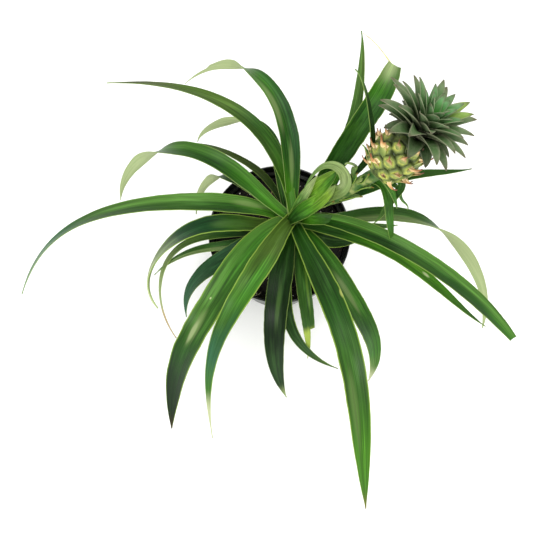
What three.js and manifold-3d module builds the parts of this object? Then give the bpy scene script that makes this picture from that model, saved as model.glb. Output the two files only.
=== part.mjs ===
// A small fruiting pineapple plant in a round nursery pot.
//
// Millimetres, +Z up. The origin is the centre of the pot's underside. The fruit leans
// towards +X and the longest leaves hang towards -Y and -X.
//
// The pot holds a plug of potting mix with one plain hole, and the plant's short stem stands
// in that hole. Strap leaves grow round the stem, youngest at the top. A leaning stalk rises
// from the stem's top with bracts of its own, and carries the fruit and its leafy crown.
import * as THREE from "three";
import { mergeVertices } from "three/addons/utils/BufferGeometryUtils.js";
import Module from "manifold-3d";

const { Vector3 } = THREE;
const wasm = await Module();
wasm.setup();

// ---------------------------------------------------------------- driving dimensions
const GAP = 0.3; // clearance between pieces that touch

const POT = {
  rimRadius: 76,
  baseRadius: 54,
  height: 136,
  wall: 1.3,
  floor: 1.6,
  collar: 16, // height of the stepped rim
  step: 3, // how far the rim stands out from the wall
  sides: 36,
  drains: 6,
  drainRadius: 5,
};
const SOIL = { edge: 116, mound: 8, lump: 1.6, rings: 5, sides: 32 };
const STEM = { x: 14, y: 9, foot: 92, top: 172, radius: 11, topRadius: 4.5, sides: 16 };
const STALK = { radius: 5.5, topRadius: 6.5, sides: 10, segments: 7 };
const FRUIT = {
  axis: [0.54, 0.4, 0.74],
  length: 49,
  radius: 19.5,
  eyes: 38,
  eyeRadius: 6.3,
  eyeHeight: 2.6,
};
const CROWN = {
  axis: [0.45, 0.36, 0.82],
  leaves: 38,
  core: 24,
  coreRadius: 8.5,
  longest: 48,
  width: 16,
};
// Leaf thickness, what a fleshy root adds to it, and how far a blade leans into its bend.
const BLADE = { middle: 1.3, edge: 0.7, root: 1.8, bend: 0.35 };
const GOLDEN = Math.PI * (3 - Math.sqrt(5));

// ---------------------------------------------------------------- small helpers
const lerp = THREE.MathUtils.lerp;
const smooth = THREE.MathUtils.smoothstep;
const radians = THREE.MathUtils.degToRad;
const vector = (p) => new Vector3(...p);

// The smooth curve through evenly spaced points (Lagrange's polynomial).
function curveThrough(points, t) {
  const at = t * (points.length - 1);
  const p = new Vector3();
  points.forEach((point, i) => {
    const share = points.reduce((s, _, j) => (j === i ? s : (s * (at - j)) / (i - j)), 1);
    p.addScaledVector(point, share);
  });
  return p;
}

// A ring of `count` points about a centre, in the plane of two directions.
function ringOf(centre, x, y, radius, count, start = 0) {
  return Array.from({ length: count }, (_, k) => {
    const turn = start + (k / count) * 2 * Math.PI;
    const p = centre.clone().addScaledVector(x, radius * Math.cos(turn));
    return p.addScaledVector(y, radius * Math.sin(turn));
  });
}

// A closed skin over rings of equal size, fanned shut at both ends. The rings of a thin twisted
// piece run up one face and back down the other, and `flat` splits both faces along like diagonals.
function skinOf(rings, flat = false) {
  const size = rings[0].length;
  const position = rings.flat().flatMap((p) => [p.x, p.y, p.z]);
  const index = [];
  for (let r = 0; r + 1 < rings.length; r++)
    for (let k = 0; k < size; k++) {
      const a = r * size + k;
      const b = r * size + ((k + 1) % size);
      if (flat && k >= size / 2) index.push(a, b, a + size, b, b + size, a + size);
      else index.push(a, b, b + size, a, b + size, a + size);
    }
  const last = (rings.length - 1) * size;
  for (let k = 1; k + 1 < size; k++) {
    index.push(0, k + 1, k);
    index.push(last, last + k, last + k + 1);
  }
  const geometry = new THREE.BufferGeometry();
  geometry.setAttribute("position", new THREE.Float32BufferAttribute(position, 3));
  geometry.setIndex(index);
  return geometry;
}

// A geometry as a closed solid, turned face out.
function solidOf(geometry) {
  const bare = geometry.clone();
  bare.deleteAttribute("normal");
  bare.deleteAttribute("uv");
  const merged = mergeVertices(bare, 1e-4);
  const triVerts = new Uint32Array(merged.index.array);
  const vertProperties = new Float32Array(merged.attributes.position.array);
  const mesh = { numProp: 3, vertProperties, triVerts };
  const solid = new wasm.Manifold(new wasm.Mesh(mesh));
  if (solid.volume() > 0) return solid;
  for (let i = 0; i < triVerts.length; i += 3)
    [triVerts[i + 1], triVerts[i + 2]] = [triVerts[i + 2], triVerts[i + 1]];
  return new wasm.Manifold(new wasm.Mesh(mesh));
}

// The solid's largest body as a BufferGeometry.
function geometryOf(solid) {
  const bodies = solid.decompose().sort((a, b) => b.volume() - a.volume());
  const mesh = bodies[0].getMesh();
  const geometry = new THREE.BufferGeometry();
  geometry.setAttribute("position", new THREE.BufferAttribute(new Float32Array(mesh.vertProperties), 3));
  geometry.setIndex(new THREE.BufferAttribute(new Uint32Array(mesh.triVerts), 1));
  return geometry;
}

// Turned solids, with the profile's points as [radius, height].
function turned(profile, sides) {
  const points = profile.map(([r, z]) => new THREE.Vector2(r, z));
  return new THREE.LatheGeometry(points, sides).rotateX(Math.PI / 2);
}

// A seeded draw from 0 to 1, so that every build is alike.
function seededDraw(seed) {
  let state = seed;
  return () => {
    state = (state * 1664525 + 1013904223) % 4294967296;
    return state / 4294967296;
  };
}

// ---------------------------------------------------------------- blades
// The blade's frame along its midrib: it lies level across the stem at its root, leans part of
// the way into the plane that the midrib bends in, and may roll over between two places on it.
function bladeFrames(midrib, segments, roll = 0, [from, to] = [0.4, 0.9]) {
  const centres = Array.from({ length: segments + 1 }, (_, i) => curveThrough(midrib, i / segments));
  const tangents = centres.map((_, i) => {
    const t = i / segments;
    return curveThrough(midrib, t + 0.01).sub(curveThrough(midrib, t - 0.01)).normalize();
  });
  const levels = tangents.map((tangent) => new Vector3(0, 0, 1).cross(tangent).normalize());
  const bend = new Vector3();
  for (let i = 0; i < segments; i++) bend.add(tangents[i].clone().cross(tangents[i + 1]));
  bend.normalize();
  if (bend.dot(levels[Math.floor(segments / 2)]) < 0) bend.negate();
  return centres.map((centre, i) => {
    const t = i / segments;
    const side = levels[i].clone().lerp(bend, BLADE.bend * smooth(t, 0, 0.5));
    side.addScaledVector(tangents[i], -side.dot(tangents[i])).normalize();
    side.applyAxisAngle(tangents[i], radians(roll) * smooth(t, from, to));
    return { centre, side, up: tangents[i].clone().cross(side) };
  });
}

// Share of the blade's full width at t: a narrower root, then a taper to the tip. A torn tip
// keeps the share `end` of the width.
function outlineAt(t, [steepness, point], end) {
  return (0.6 + 0.4 * smooth(t, 0, 0.35)) * (1 - (1 - end) * t ** steepness) ** point;
}

// A channelled blade. `across` are places from edge to edge, -1 to 1; `grow` fattens it; `torn`
// is where one edge has been lost and the share of it that's left.
function blade(shape) {
  const { midrib, width, taper, across, segments, end = 0, roll, rolled } = shape;
  const { fold = 28, root = BLADE.root, torn = [2, 1], grow = 0 } = shape;
  const rings = bladeFrames(midrib, segments, roll, rolled).map(({ centre, side, up }, i) => {
    const t = i / segments;
    const half = Math.max((width / 2) * outlineAt(t, taper, end), 0.5) + grow;
    const further = i === 0 ? -grow : i === segments ? grow : 0;
    const seat = centre.clone().addScaledVector(side.clone().cross(up), further);
    const angle = radians(lerp(fold + 30, fold, smooth(t, 0, 0.35)));
    const radius = half / angle;
    const point = (u, face) => {
      const thick = lerp(BLADE.middle + root * (1 - t) ** 6, BLADE.edge, u * u) / 2 + grow;
      const r = radius - face * thick;
      const turn = angle * (u > 0 && t > torn[0] ? u * torn[1] : u);
      return seat
        .clone()
        .addScaledVector(side, r * Math.sin(turn))
        .addScaledVector(up, radius - r * Math.cos(turn));
    };
    return [...across.map((u) => point(u, 1)), ...across.map((u) => point(-u, -1))];
  });
  return solidOf(skinOf(rings, true));
}

const WIDE_ACROSS = [-1, -0.38, 0.38, 1];
const NARROW_ACROSS = [-1, 0, 1];
const NARROW = 16; // blades up to this width get the simpler section
const LEAF_SEGMENTS = 10;
const BRACT_SEGMENTS = 7;

// The rosette's leaves, youngest first. `seat` is the height on the stem, and the midrib
// passes the four points at a quarter, half, three quarters and the whole of its course.
const strap = (seat, width, taper, through, more) => ({ seat, width, taper, through, ...more });
const STRIP = { torn: [0.75, 0.25] };
const LEAVES = [
  strap(168, 16, [3, 0.9], [[47, 19, 206], [61, 20, 242], [51, 32, 258], [23, 21, 222]]),
  strap(167, 20, [4, 0.9], [[26, 18, 195], [36, 23, 214], [46, 28, 230], [54, 34, 240]]),
  strap(166, 12, [3, 1], [[20, 17, 188], [26, 22, 204], [31, 27, 218], [36, 32, 230]]),
  strap(163, 18, [3.5, 1.2], [[-2, 60, 200], [-41, 99, 226], [-104, 132, 214], [-186, 160, 165]],
    { roll: 20 }),
  strap(161, 26, [2.7, 1.1], [[-11, -37, 202], [-40, -88, 218], [-67, -135, 170], [-72, -213, 80]]),
  strap(160, 19, [10, 1], [[67, -8, 196], [121, -37, 212], [180, -69, 186], [244, -113, 130]], { end: 0.5 }),
  strap(158, 23, [12, 1], [[58, 57, 205], [75, 74, 245], [89, 89, 275], [107, 123, 285]], { end: 0.6 }),
  strap(157, 20, [5, 1], [[-34, 40, 188], [-88, 67, 204], [-147, 79, 150], [-180, 54, 82]],
    { roll: 120, rolled: [0.55, 0.85] }),
  strap(155, 21, [3, 0.9], [[11, 59, 208], [-3, 106, 240], [-42, 155, 216], [-103, 166, 150]],
    { roll: 150, rolled: [0.62, 0.9] }),
  strap(154, 23, [4.5, 1], [[-44, 18, 178], [-118, 13, 198], [-212, 5, 152], [-285, -56, 85]], { roll: 20 }),
  strap(152, 25, [8, 1], [[37, -60, 206], [59, -124, 228], [74, -191, 200], [88, -286, 110]]),
  strap(151, 28, [8, 0.9], [[-37, -36, 182], [-71, -95, 196], [-99, -137, 158], [-117, -202, 70]]),
  strap(149, 17, [3, 1], [[65, -11, 176], [113, -34, 186], [164, -66, 162], [219, -98, 118]]),
  strap(148, 16, [3, 1.2], [[57, 63, 186], [73, 90, 220], [78, 123, 258], [76, 156, 290]]),
  strap(146, 17, [5, 0.8], [[83, 7, 176], [145, 3, 174], [204, -29, 130], [229, -90, 60]],
    { roll: -150, rolled: [0.4, 0.85] }),
  strap(145, 20, [6, 0.9], [[-42, 3, 162], [-91, -5, 165], [-136, -26, 106], [-138, -65, 48]], { roll: 40 }),
  strap(143, 23, [6, 1], [[47, -41, 178], [72, -83, 180], [95, -115, 140], [96, -153, 90]]),
  strap(142, 14, [4, 0.9], [[0, 62, 165], [-17, 100, 180], [-57, 115, 166], [-91, 113, 112]],
    { roll: 150, rolled: [0.5, 0.85] }),
  strap(140, 26, [5.5, 1.1], [[4, -35, 150], [-3, -82, 152], [-5, -126, 120], [8, -168, 65]]),
  strap(139, 24, [4, 1], [[-29, -16, 150], [-54, -32, 155], [-85, -47, 131], [-103, -80, 76]]),
  strap(137, 13, [3, 1], [[48, 4, 150], [74, 1, 156], [101, 3, 150], [127, 10, 132]]),
  strap(136, 12, [5, 0.8], [[-29, 43, 150], [-55, 57, 154], [-79, 63, 120], [-95, 43, 64]],
    { roll: 130, rolled: [0.45, 0.8] }),
  strap(134, 11, [3, 1], [[-43, -13, 143], [-75, -18, 143], [-106, -21, 120], [-139, -34, 84]]),
  strap(133, 16, [6, 1], [[22, -34, 143], [26, -71, 142], [31, -100, 118], [31, -128, 88]], STRIP),
  strap(131, 15, [3, 1], [[35, -7, 148], [52, -13, 150], [70, -12, 144], [91, -4, 130]]),
  strap(130, 9, [3, 1], [[-10, 48, 158], [-33, 65, 172], [-59, 83, 162], [-90, 101, 138]]),
  strap(128, 9, [3, 1], [[-54, -4, 146], [-106, -13, 128], [-133, -44, 74], [-119, -95, 20]], { roll: 20 }),
  strap(127, 15, [3, 1], [[6, -53, 139], [9, -92, 134], [26, -118, 103], [66, -135, 55]]),
];

// The dry thread that hangs from the torn tip of the broad leaf behind the fruit.
const THREAD = {
  leaf: 6,
  width: 1,
  course: [[106, 121, 285], [96, 138, 284], [88, 152, 278], [80, 164, 270]],
};

// The stalk's course, and its bracts: `at` is the share of the stalk below the bract's seat.
const STALK_COURSE = [[13, 9, 172.3], [29, 13, 184], [50, 17, 202], [71, 20, 232], [92, 22, 270]];
const clasping = (at, width, taper, through) => ({ at, width, taper, through });
const BRACTS = [
  clasping(0.3, 12, [3, 1], [[83, 20, 222], [112, 23, 250], [144, 26, 256], [184, 34, 245]]),
  clasping(0.4, 7, [3, 1], [[78, 34, 254], [83, 44, 296], [77, 68, 324], [64, 92, 342]]),
  clasping(0.85, 10, [4, 0.9], [[98, 11, 254], [103, -4, 242], [107, -19, 222], [110, -34, 196]]),
  clasping(0.97, 7, [2, 1], [[102, 9, 262], [106, 4, 256], [109, -1, 249], [111, -5, 242]]),
  clasping(0.92, 9, [4, 1], [[113, 13, 262], [108, 4, 246], [101, -3, 228], [92, -10, 205]]),
  clasping(0.9, 6, [2, 1], [[111, 14, 248], [115, 8, 240], [120, 4, 232], [124, -1, 224]]),
  clasping(0.95, 6, [2, 1], [[84, 34, 276], [81, 35, 282], [78, 37, 288], [74, 40, 293]]),
  clasping(0.8, 6, [2, 1], [[70, 32, 246], [71, 34, 252], [66, 35, 257], [61, 33, 258]]),
];

// ---------------------------------------------------------------- pot and soil
function pot() {
  const wallTop = POT.height - POT.collar;
  const wallRadius = POT.rimRadius - POT.step;
  const inner = POT.wall;
  const profile = [
    [0, 0],
    [POT.baseRadius, 0],
    [wallRadius - 1, wallTop],
    [POT.rimRadius - 0.8, wallTop + 1],
    [POT.rimRadius, POT.height - 1],
    [POT.rimRadius - 1, POT.height],
    [POT.rimRadius - inner, POT.height],
    [POT.rimRadius - 1 - inner, wallTop + 2.5],
    [wallRadius - 1 - inner, wallTop + 1],
    [POT.baseRadius + 0.4 - inner, POT.floor],
    [0, POT.floor],
  ];
  const body = solidOf(turned(profile, POT.sides));
  const drains = Array.from({ length: POT.drains }, (_, i) => {
    const drain = new THREE.CylinderGeometry(POT.drainRadius, POT.drainRadius, 16, 10).rotateX(Math.PI / 2);
    const angle = ((i + 0.5) / POT.drains) * 2 * Math.PI;
    const reach = POT.baseRadius - 2;
    return solidOf(drain.translate(reach * Math.cos(angle), reach * Math.sin(angle), 0));
  });
  return body.subtract(wasm.Manifold.union(drains));
}

// Height of the potting mix at radius r and angle a: a low mound with small lumps.
function soilHeight(r, a) {
  const share = r / (POT.rimRadius - 6);
  const lumps = Math.sin(5 * a + r / 5) + Math.sin(3 * a - r / 4) + Math.cos(8 * a + r / 3);
  return SOIL.edge + SOIL.mound * (1 - share ** 2) + SOIL.lump * 0.5 * lumps * smooth(1 - share, 0, 0.1);
}

function soil() {
  const inset = POT.wall + GAP + 0.6;
  const slope = (POT.rimRadius - POT.step - 1 - POT.baseRadius) / (POT.height - POT.collar);
  const wallAt = (z) => POT.baseRadius + slope * z - inset;
  const bottom = POT.floor + GAP;
  const circle = (radius, height) =>
    Array.from({ length: SOIL.sides }, (_, k) => {
      const a = (k / SOIL.sides) * 2 * Math.PI;
      return new Vector3(radius * Math.cos(a), radius * Math.sin(a), height(radius, a));
    });
  const rings = [circle(wallAt(bottom), () => bottom)];
  const edge = wallAt(SOIL.edge);
  for (let r = SOIL.rings; r >= 1; r--) rings.push(circle((edge * r) / SOIL.rings, soilHeight));
  const reach = STEM.radius + GAP;
  const floor = STEM.foot - GAP;
  const hole = turned([[0, floor], [reach, floor], [reach, POT.height], [0, POT.height]], STEM.sides);
  return solidOf(skinOf(rings)).subtract(solidOf(hole.translate(STEM.x, STEM.y, 0)));
}

// ---------------------------------------------------------------- stem and stalk
function stem(grow = 0) {
  const profile = [
    [0, STEM.foot - grow],
    [STEM.radius + grow, STEM.foot - grow],
    [STEM.radius + grow, lerp(STEM.foot, STEM.top, 0.6)],
    [STEM.topRadius + grow, STEM.top - 3],
    [STEM.topRadius - 2 + grow, STEM.top + grow],
    [0, STEM.top + grow],
  ];
  return solidOf(turned(profile, STEM.sides).translate(STEM.x, STEM.y, 0));
}

const stalkCourse = STALK_COURSE.map(vector);

function stalk(grow = 0) {
  const frames = bladeFrames(stalkCourse, STALK.segments);
  const rings = frames.map(({ centre, side, up }, i) => {
    const radius = lerp(STALK.radius, STALK.topRadius, i / STALK.segments) + grow;
    return ringOf(centre, side, up, radius, STALK.sides);
  });
  return solidOf(skinOf(rings));
}

// ---------------------------------------------------------------- fruit and crown
// Both are made upright on the Z axis. The fruit is set on the stalk's end and the crown,
// which has turned further up to the light, on the fruit's.
const fruitAxis = vector(FRUIT.axis).normalize();
const crownAxis = vector(CROWN.axis).normalize();
const fruitFoot = stalkCourse.at(-1);
const crownFoot = fruitFoot.clone().addScaledVector(fruitAxis, FRUIT.length - 1);

function setOn(geometry, foot, axis) {
  const turn = new THREE.Quaternion().setFromUnitVectors(new Vector3(0, 0, 1), axis);
  return geometry.applyQuaternion(turn).translate(foot.x, foot.y, foot.z);
}

// A solid a little enlarged about a point, to trim its neighbours by.
function enlarged(solid, centre, by) {
  const c = centre.toArray();
  return solid.translate(c.map((x) => -x)).scale(by).translate(c).add(solid);
}

// Radius of the fruit's flesh at share v of its length.
const fruitRadius = (v) => FRUIT.radius * Math.sin(Math.PI * (0.13 + 0.74 * v)) ** 0.62;

// A six-sided eye with its pointed bract, standing on the flesh at share v and angle a.
function fruitEye(v, a, draw) {
  const r = fruitRadius(v);
  const rise = (fruitRadius(v + 0.01) - fruitRadius(v - 0.01)) / (0.02 * FRUIT.length);
  const out = new Vector3(Math.cos(a), Math.sin(a), -rise).normalize();
  const round = new Vector3(-Math.sin(a), Math.cos(a), 0);
  const along = out.clone().cross(round);
  const foot = new Vector3(r * Math.cos(a), r * Math.sin(a), v * FRUIT.length);
  const size = FRUIT.eyeRadius * lerp(0.6, 1, Math.sin(Math.PI * v));
  const place = (x, y, z) =>
    foot.clone().addScaledVector(round, x).addScaledVector(along, y).addScaledVector(out, z);
  const ring = (radius, height) =>
    Array.from({ length: 6 }, (_, k) => {
      const turn = (k / 6) * 2 * Math.PI + Math.PI / 6;
      return place(radius * Math.cos(turn), radius * 0.88 * Math.sin(turn), height);
    });
  const tip = size * (0.3 + 0.4 * draw());
  const bract = [
    [place(-0.5 * size, -0.6 * size, 0.4), place(0.5 * size, -0.6 * size, 0.4), place(0, 0.1 * size, 1)],
    [place(-0.4, tip, 5.2), place(0.4, tip, 5.2), place(0, tip + 0.6, 5.4)],
  ];
  return [skinOf([ring(size, -2), ring(size * 0.66, FRUIT.eyeHeight)]), skinOf(bract)];
}

// A withered flower: a bent three-sided curl out of an eye.
function witheredFlower(v, a, draw) {
  const r = fruitRadius(v);
  const lean = (draw() - 0.5) * 0.3;
  const stations = [[-1, 1.1], [3.4, 1.1], [6.4, 0.7]];
  return skinOf(stations.map(([out, radius], i) =>
    Array.from({ length: 3 }, (_, k) => {
      const turn = (k / 3) * 2 * Math.PI;
      const angle = a + lean * i + (radius * Math.cos(turn)) / r;
      const reach = r + FRUIT.eyeHeight + out;
      const height = v * FRUIT.length + i * i * 0.8 + radius * Math.sin(turn);
      return new Vector3(reach * Math.cos(angle), reach * Math.sin(angle), height);
    })));
}

function fruit() {
  const stations = 6;
  const shares = Array.from({ length: stations }, (_, i) => i / (stations - 1));
  const profile = shares.map((v) => [fruitRadius(v), v * FRUIT.length]);
  const pieces = [turned([[0, 0], ...profile, [0, FRUIT.length]], 12)];
  const draw = seededDraw(7);
  for (let i = 0; i < FRUIT.eyes; i++) {
    const v = 0.08 + (0.84 * (i + 0.5)) / FRUIT.eyes;
    const a = i * GOLDEN;
    pieces.push(...fruitEye(v, a, draw));
    if (i % 4 === 0) pieces.push(witheredFlower(v, a, draw));
  }
  return wasm.Manifold.union(pieces.map((piece) => solidOf(setOn(piece, fruitFoot, fruitAxis))));
}

// One crown leaf, share f of the way up the crown: low ones are short and curl back, middle
// ones are the longest, and the innermost stand nearly upright.
function crownLeaf(f, a, draw) {
  const grown = lerp(0.55, 1, smooth(f, 0, 0.3)) * lerp(1, 0.62, smooth(f, 0.5, 1));
  const length = CROWN.longest * grown * (0.92 + 0.16 * draw());
  const lean = radians(lerp(100, 16, f ** 0.85));
  const curl = radians(lerp(30, 4, f));
  const base = lerp(4, CROWN.core - 3, f);
  const root = lerp(CROWN.coreRadius, 2, f ** 1.5) - 2;
  const reach = (share) => {
    const angle = lean - curl * (1 - share);
    const r = root + length * share * Math.sin(angle);
    return new Vector3(r * Math.cos(a), r * Math.sin(a), base + length * share * Math.cos(angle));
  };
  const segments = 3;
  const frames = bladeFrames([0, 1 / 3, 2 / 3, 1].map(reach), segments);
  const rings = frames.map(({ centre, side, up }, k) => {
    const t = k / segments;
    const half = Math.max((CROWN.width / 2) * lerp(1, 0.7, f) * Math.sqrt(1 - t ** 2.4), 0.4);
    const place = (x, z) => centre.clone().addScaledVector(side, x).addScaledVector(up, z);
    const keel = place(0, -1.2 * (1 - t) - 0.3);
    return [place(-half, half * 0.3 + 0.4), place(0, 0.5), place(half, half * 0.3 + 0.4), keel];
  });
  return skinOf(rings);
}

function crown() {
  const { core, coreRadius, leaves } = CROWN;
  const profile = [
    [0, 0],
    [coreRadius * 0.6, 0],
    [coreRadius, 4],
    [coreRadius * 0.7, core * 0.6],
    [2.5, core],
    [0, core],
  ];
  const draw = seededDraw(11);
  const pieces = [turned(profile, 12)];
  for (let i = 0; i < leaves; i++)
    pieces.push(crownLeaf(i / (leaves - 1), i * GOLDEN + 0.25 * (draw() - 0.5), draw));
  return wasm.Manifold.union(pieces.map((piece) => solidOf(setOn(piece, crownFoot, crownAxis))));
}

// ---------------------------------------------------------------- the plant put together
const colours = {
  pot: { color: 0x121615, roughness: 0.45 },
  soil: { color: 0x1d130c, roughness: 1 },
  stem: { color: 0x8c8f58, roughness: 0.8 },
  stalk: { color: 0x7f9a4c, roughness: 0.7 },
  leaf: { color: 0x2f6b25, roughness: 0.45 },
  youngLeaf: { color: 0x7fa64a, roughness: 0.5 },
  bract: { color: 0x3f7a2c, roughness: 0.5 },
  fruit: { color: 0xa3a855, roughness: 0.7 },
  crown: { color: 0x55724c, roughness: 0.7 },
};
const materials = {};
for (const [name, look] of Object.entries(colours))
  materials[name] = new THREE.MeshStandardMaterial({ metalness: 0, ...look });

const plant = new THREE.Group();
const placed = []; // what later pieces are trimmed clear of

function addPiece(name, solid, material, envelope) {
  const mesh = new THREE.Mesh(geometryOf(solid), materials[material]);
  mesh.name = name;
  plant.add(mesh);
  if (envelope) placed.push(envelope);
}

// What of a blade lies clear of every piece placed before it.
function clearOfPlaced(solid) {
  return solid.subtract(wasm.Manifold.union(placed));
}

addPiece("pot", pot(), "pot");
addPiece("soil", soil(), "soil");
addPiece("stem", stem(), "stem", stem(GAP));
addPiece("stalk", stalk().subtract(stem(GAP)), "stalk", stalk(GAP));
const fruitCentre = fruitFoot.clone().addScaledVector(fruitAxis, FRUIT.length / 2);
const crownCentre = crownFoot.clone().addScaledVector(crownAxis, CROWN.core);
const fruitBody = fruit();
const fruitEnvelope = enlarged(fruitBody, fruitCentre, 1.03);
addPiece("fruit", fruitBody.subtract(stalk(GAP)), "fruit", fruitEnvelope);
const crownBody = crown().subtract(fruitEnvelope);
addPiece("crown", crownBody, "crown", enlarged(crownBody, crownCentre, 1.02));

function thread() {
  const frames = bladeFrames(THREAD.course.map(vector), 6);
  const radius = THREAD.width * 0.7;
  return solidOf(skinOf(frames.map(({ centre, side, up }) => ringOf(centre, side, up, radius, 4))));
}

LEAVES.forEach(({ seat, through, ...shape }, i) => {
  const midrib = [[STEM.x, STEM.y, seat], ...through].map(vector);
  const across = shape.width > NARROW ? WIDE_ACROSS : NARROW_ACROSS;
  const spec = { midrib, across, segments: LEAF_SEGMENTS, ...shape };
  const body = i === THREAD.leaf ? blade(spec).add(thread()) : blade(spec);
  const name = `leaf_${String(i + 1).padStart(2, "0")}`;
  addPiece(name, clearOfPlaced(body), i < 3 ? "youngLeaf" : "leaf", blade({ ...spec, grow: GAP }));
});

BRACTS.forEach(({ at, through, ...shape }, i) => {
  const midrib = [curveThrough(stalkCourse, at), ...through.map(vector)];
  const spec = { midrib, across: NARROW_ACROSS, segments: BRACT_SEGMENTS, root: 0.6, ...shape };
  addPiece(`bract_${i + 1}`, clearOfPlaced(blade(spec)), "bract", blade({ ...spec, grow: GAP }));
});

export default plant;
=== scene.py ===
"""A small fruiting pineapple plant in a round nursery pot: the finished look.

Metres, +Z up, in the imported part's own frame. The blades' rows are in millimetres, and a blade
follows its midrib as it does in the solid part. Each blade, the crown, the fruit's eyes and what
lies on the soil is grown by a Geometry Nodes tree from a few points that carry its sizes.
"""

from math import cos, pi, radians, sin, sqrt, tau

import bpy
import numpy as np
from mathutils import Matrix, Vector

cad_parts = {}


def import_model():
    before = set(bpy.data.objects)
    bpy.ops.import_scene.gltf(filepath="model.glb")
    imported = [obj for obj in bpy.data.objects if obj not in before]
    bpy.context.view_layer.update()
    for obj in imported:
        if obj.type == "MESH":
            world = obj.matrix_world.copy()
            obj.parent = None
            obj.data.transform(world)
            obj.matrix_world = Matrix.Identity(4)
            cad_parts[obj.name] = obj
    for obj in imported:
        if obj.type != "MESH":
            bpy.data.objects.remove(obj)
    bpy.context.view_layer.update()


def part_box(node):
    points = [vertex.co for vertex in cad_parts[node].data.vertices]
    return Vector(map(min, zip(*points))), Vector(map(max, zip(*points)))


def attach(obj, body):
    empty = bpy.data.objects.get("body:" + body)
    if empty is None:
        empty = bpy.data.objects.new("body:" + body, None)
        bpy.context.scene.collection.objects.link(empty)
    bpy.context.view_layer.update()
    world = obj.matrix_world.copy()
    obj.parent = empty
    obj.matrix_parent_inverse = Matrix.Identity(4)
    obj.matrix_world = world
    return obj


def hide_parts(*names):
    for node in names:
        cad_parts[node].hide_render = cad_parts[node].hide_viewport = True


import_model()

MM = 0.001
GOLDEN = pi * (3 - sqrt(5))  # the turn from one leaf or eye of a spiral to the next
UP = Vector((0, 0, 1))

# ---- camera
CAMERA = {"at": (-0.0139, -0.26826, 1.10001), "elevation": 76.5, "lens": 63.15}
SENSOR_WIDTH = 36


def linked(name, data):
    """A new object in the scene, at the origin."""
    thing = bpy.data.objects.new(name, data)
    bpy.context.scene.collection.objects.link(thing)
    return thing


def aimed(thing, at, way):
    """Stands a camera or a lamp at a point, looking along a direction."""
    thing.location = at
    thing.rotation_euler = way.to_track_quat("-Z", "Y").to_euler()
    return thing


def add_camera():
    lens = bpy.data.cameras.new("camera")
    lens.lens = CAMERA["lens"]
    lens.sensor_width = SENSOR_WIDTH
    tilt = radians(CAMERA["elevation"])
    way = Vector((0, cos(tilt), -sin(tilt)))
    bpy.context.scene.camera = aimed(linked("camera", lens), CAMERA["at"], way)


add_camera()


# ---- node trees
def reckoned(operation):
    """Two methods that make a node of a value and something else, and of these in turn."""

    def before(self, other):
        return self.nodes.math(operation, self, other)

    def after(self, other):
        return self.nodes.math(operation, other, self)

    return before, after


class Value:
    """What a node puts out. A sum with it becomes a node of the same tree."""

    def __init__(self, nodes, socket):
        self.nodes = nodes
        self.socket = socket

    __add__, __radd__ = reckoned("ADD")
    __sub__, __rsub__ = reckoned("SUBTRACT")
    __mul__, __rmul__ = reckoned("MULTIPLY")
    __truediv__, __rtruediv__ = reckoned("DIVIDE")
    __pow__, __rpow__ = reckoned("POWER")
    __gt__ = reckoned("GREATER_THAN")[0]
    __lt__ = reckoned("LESS_THAN")[0]

    def __abs__(self):
        return self.nodes.math("ABSOLUTE", self)


class Nodes:
    """Short calls that fill a node tree, of a shape or of a finish."""

    def __init__(self, tree):
        self.tree = tree

    def put(self, socket, value):
        if isinstance(value, Value):
            self.tree.links.new(value.socket, socket)
        else:
            socket.default_value = value

    def add(self, kind, **given):
        """A new node. Names with a capital are its inputs, linked or set, the others its options."""
        node = self.tree.nodes.new(kind)
        for option in (n for n in given if n[0].islower()):
            setattr(node, option, given[option])
        for name in (n for n in given if n[0].isupper()):
            label = name.replace("_", " ")
            self.put(next(s for s in node.inputs if s.enabled and s.name == label), given[name])
        return node

    def made(self, kind, take=None, **given):
        """The output `take` of a new node, or else its first output in use."""
        outputs = self.add(kind, **given).outputs
        return Value(self, outputs[take] if take else next(s for s in outputs if s.enabled))

    def filled(self, kind, operation, values):
        """The result of an operation whose inputs are given in their order."""
        node = self.add(kind, operation=operation)
        for socket, value in zip(node.inputs, values):
            self.put(socket, value)
        return Value(self, next(s for s in node.outputs if s.enabled))

    def math(self, operation, *values):
        return self.filled("ShaderNodeMath", operation, values)

    def vector(self, operation, *values):
        return self.filled("ShaderNodeVectorMath", operation, values)

    def sine(self, value):
        return self.math("SINE", value)

    def cosine(self, value):
        return self.math("COSINE", value)

    def scaled(self, vector, by):
        return self.made("ShaderNodeVectorMath", operation="SCALE", Vector=vector, Scale=by)

    def combined(self, x, y, z):
        return self.made("ShaderNodeCombineXYZ", X=x, Y=y, Z=z)

    def parted(self, vector):
        return [Value(self, s) for s in self.add("ShaderNodeSeparateXYZ", Vector=vector).outputs]

    def blend(self, share, low, high):
        """low where share is 0 and high where it's 1."""
        return share * (high - low) + low

    def smooth(self, value, low, high):
        """0 below low, 1 above high, and eased between them."""
        given = {"Value": value, "From_Min": low, "From_Max": high}
        return self.made("ShaderNodeMapRange", interpolation_type="SMOOTHSTEP", **given)

    def noise(self, vector, scale=1.0, detail=2.0):
        return self.made("ShaderNodeTexNoise", Vector=vector, Scale=scale, Detail=detail)

    def attributes(self, names):
        return [self.attribute(name) for name in names.split()]


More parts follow.
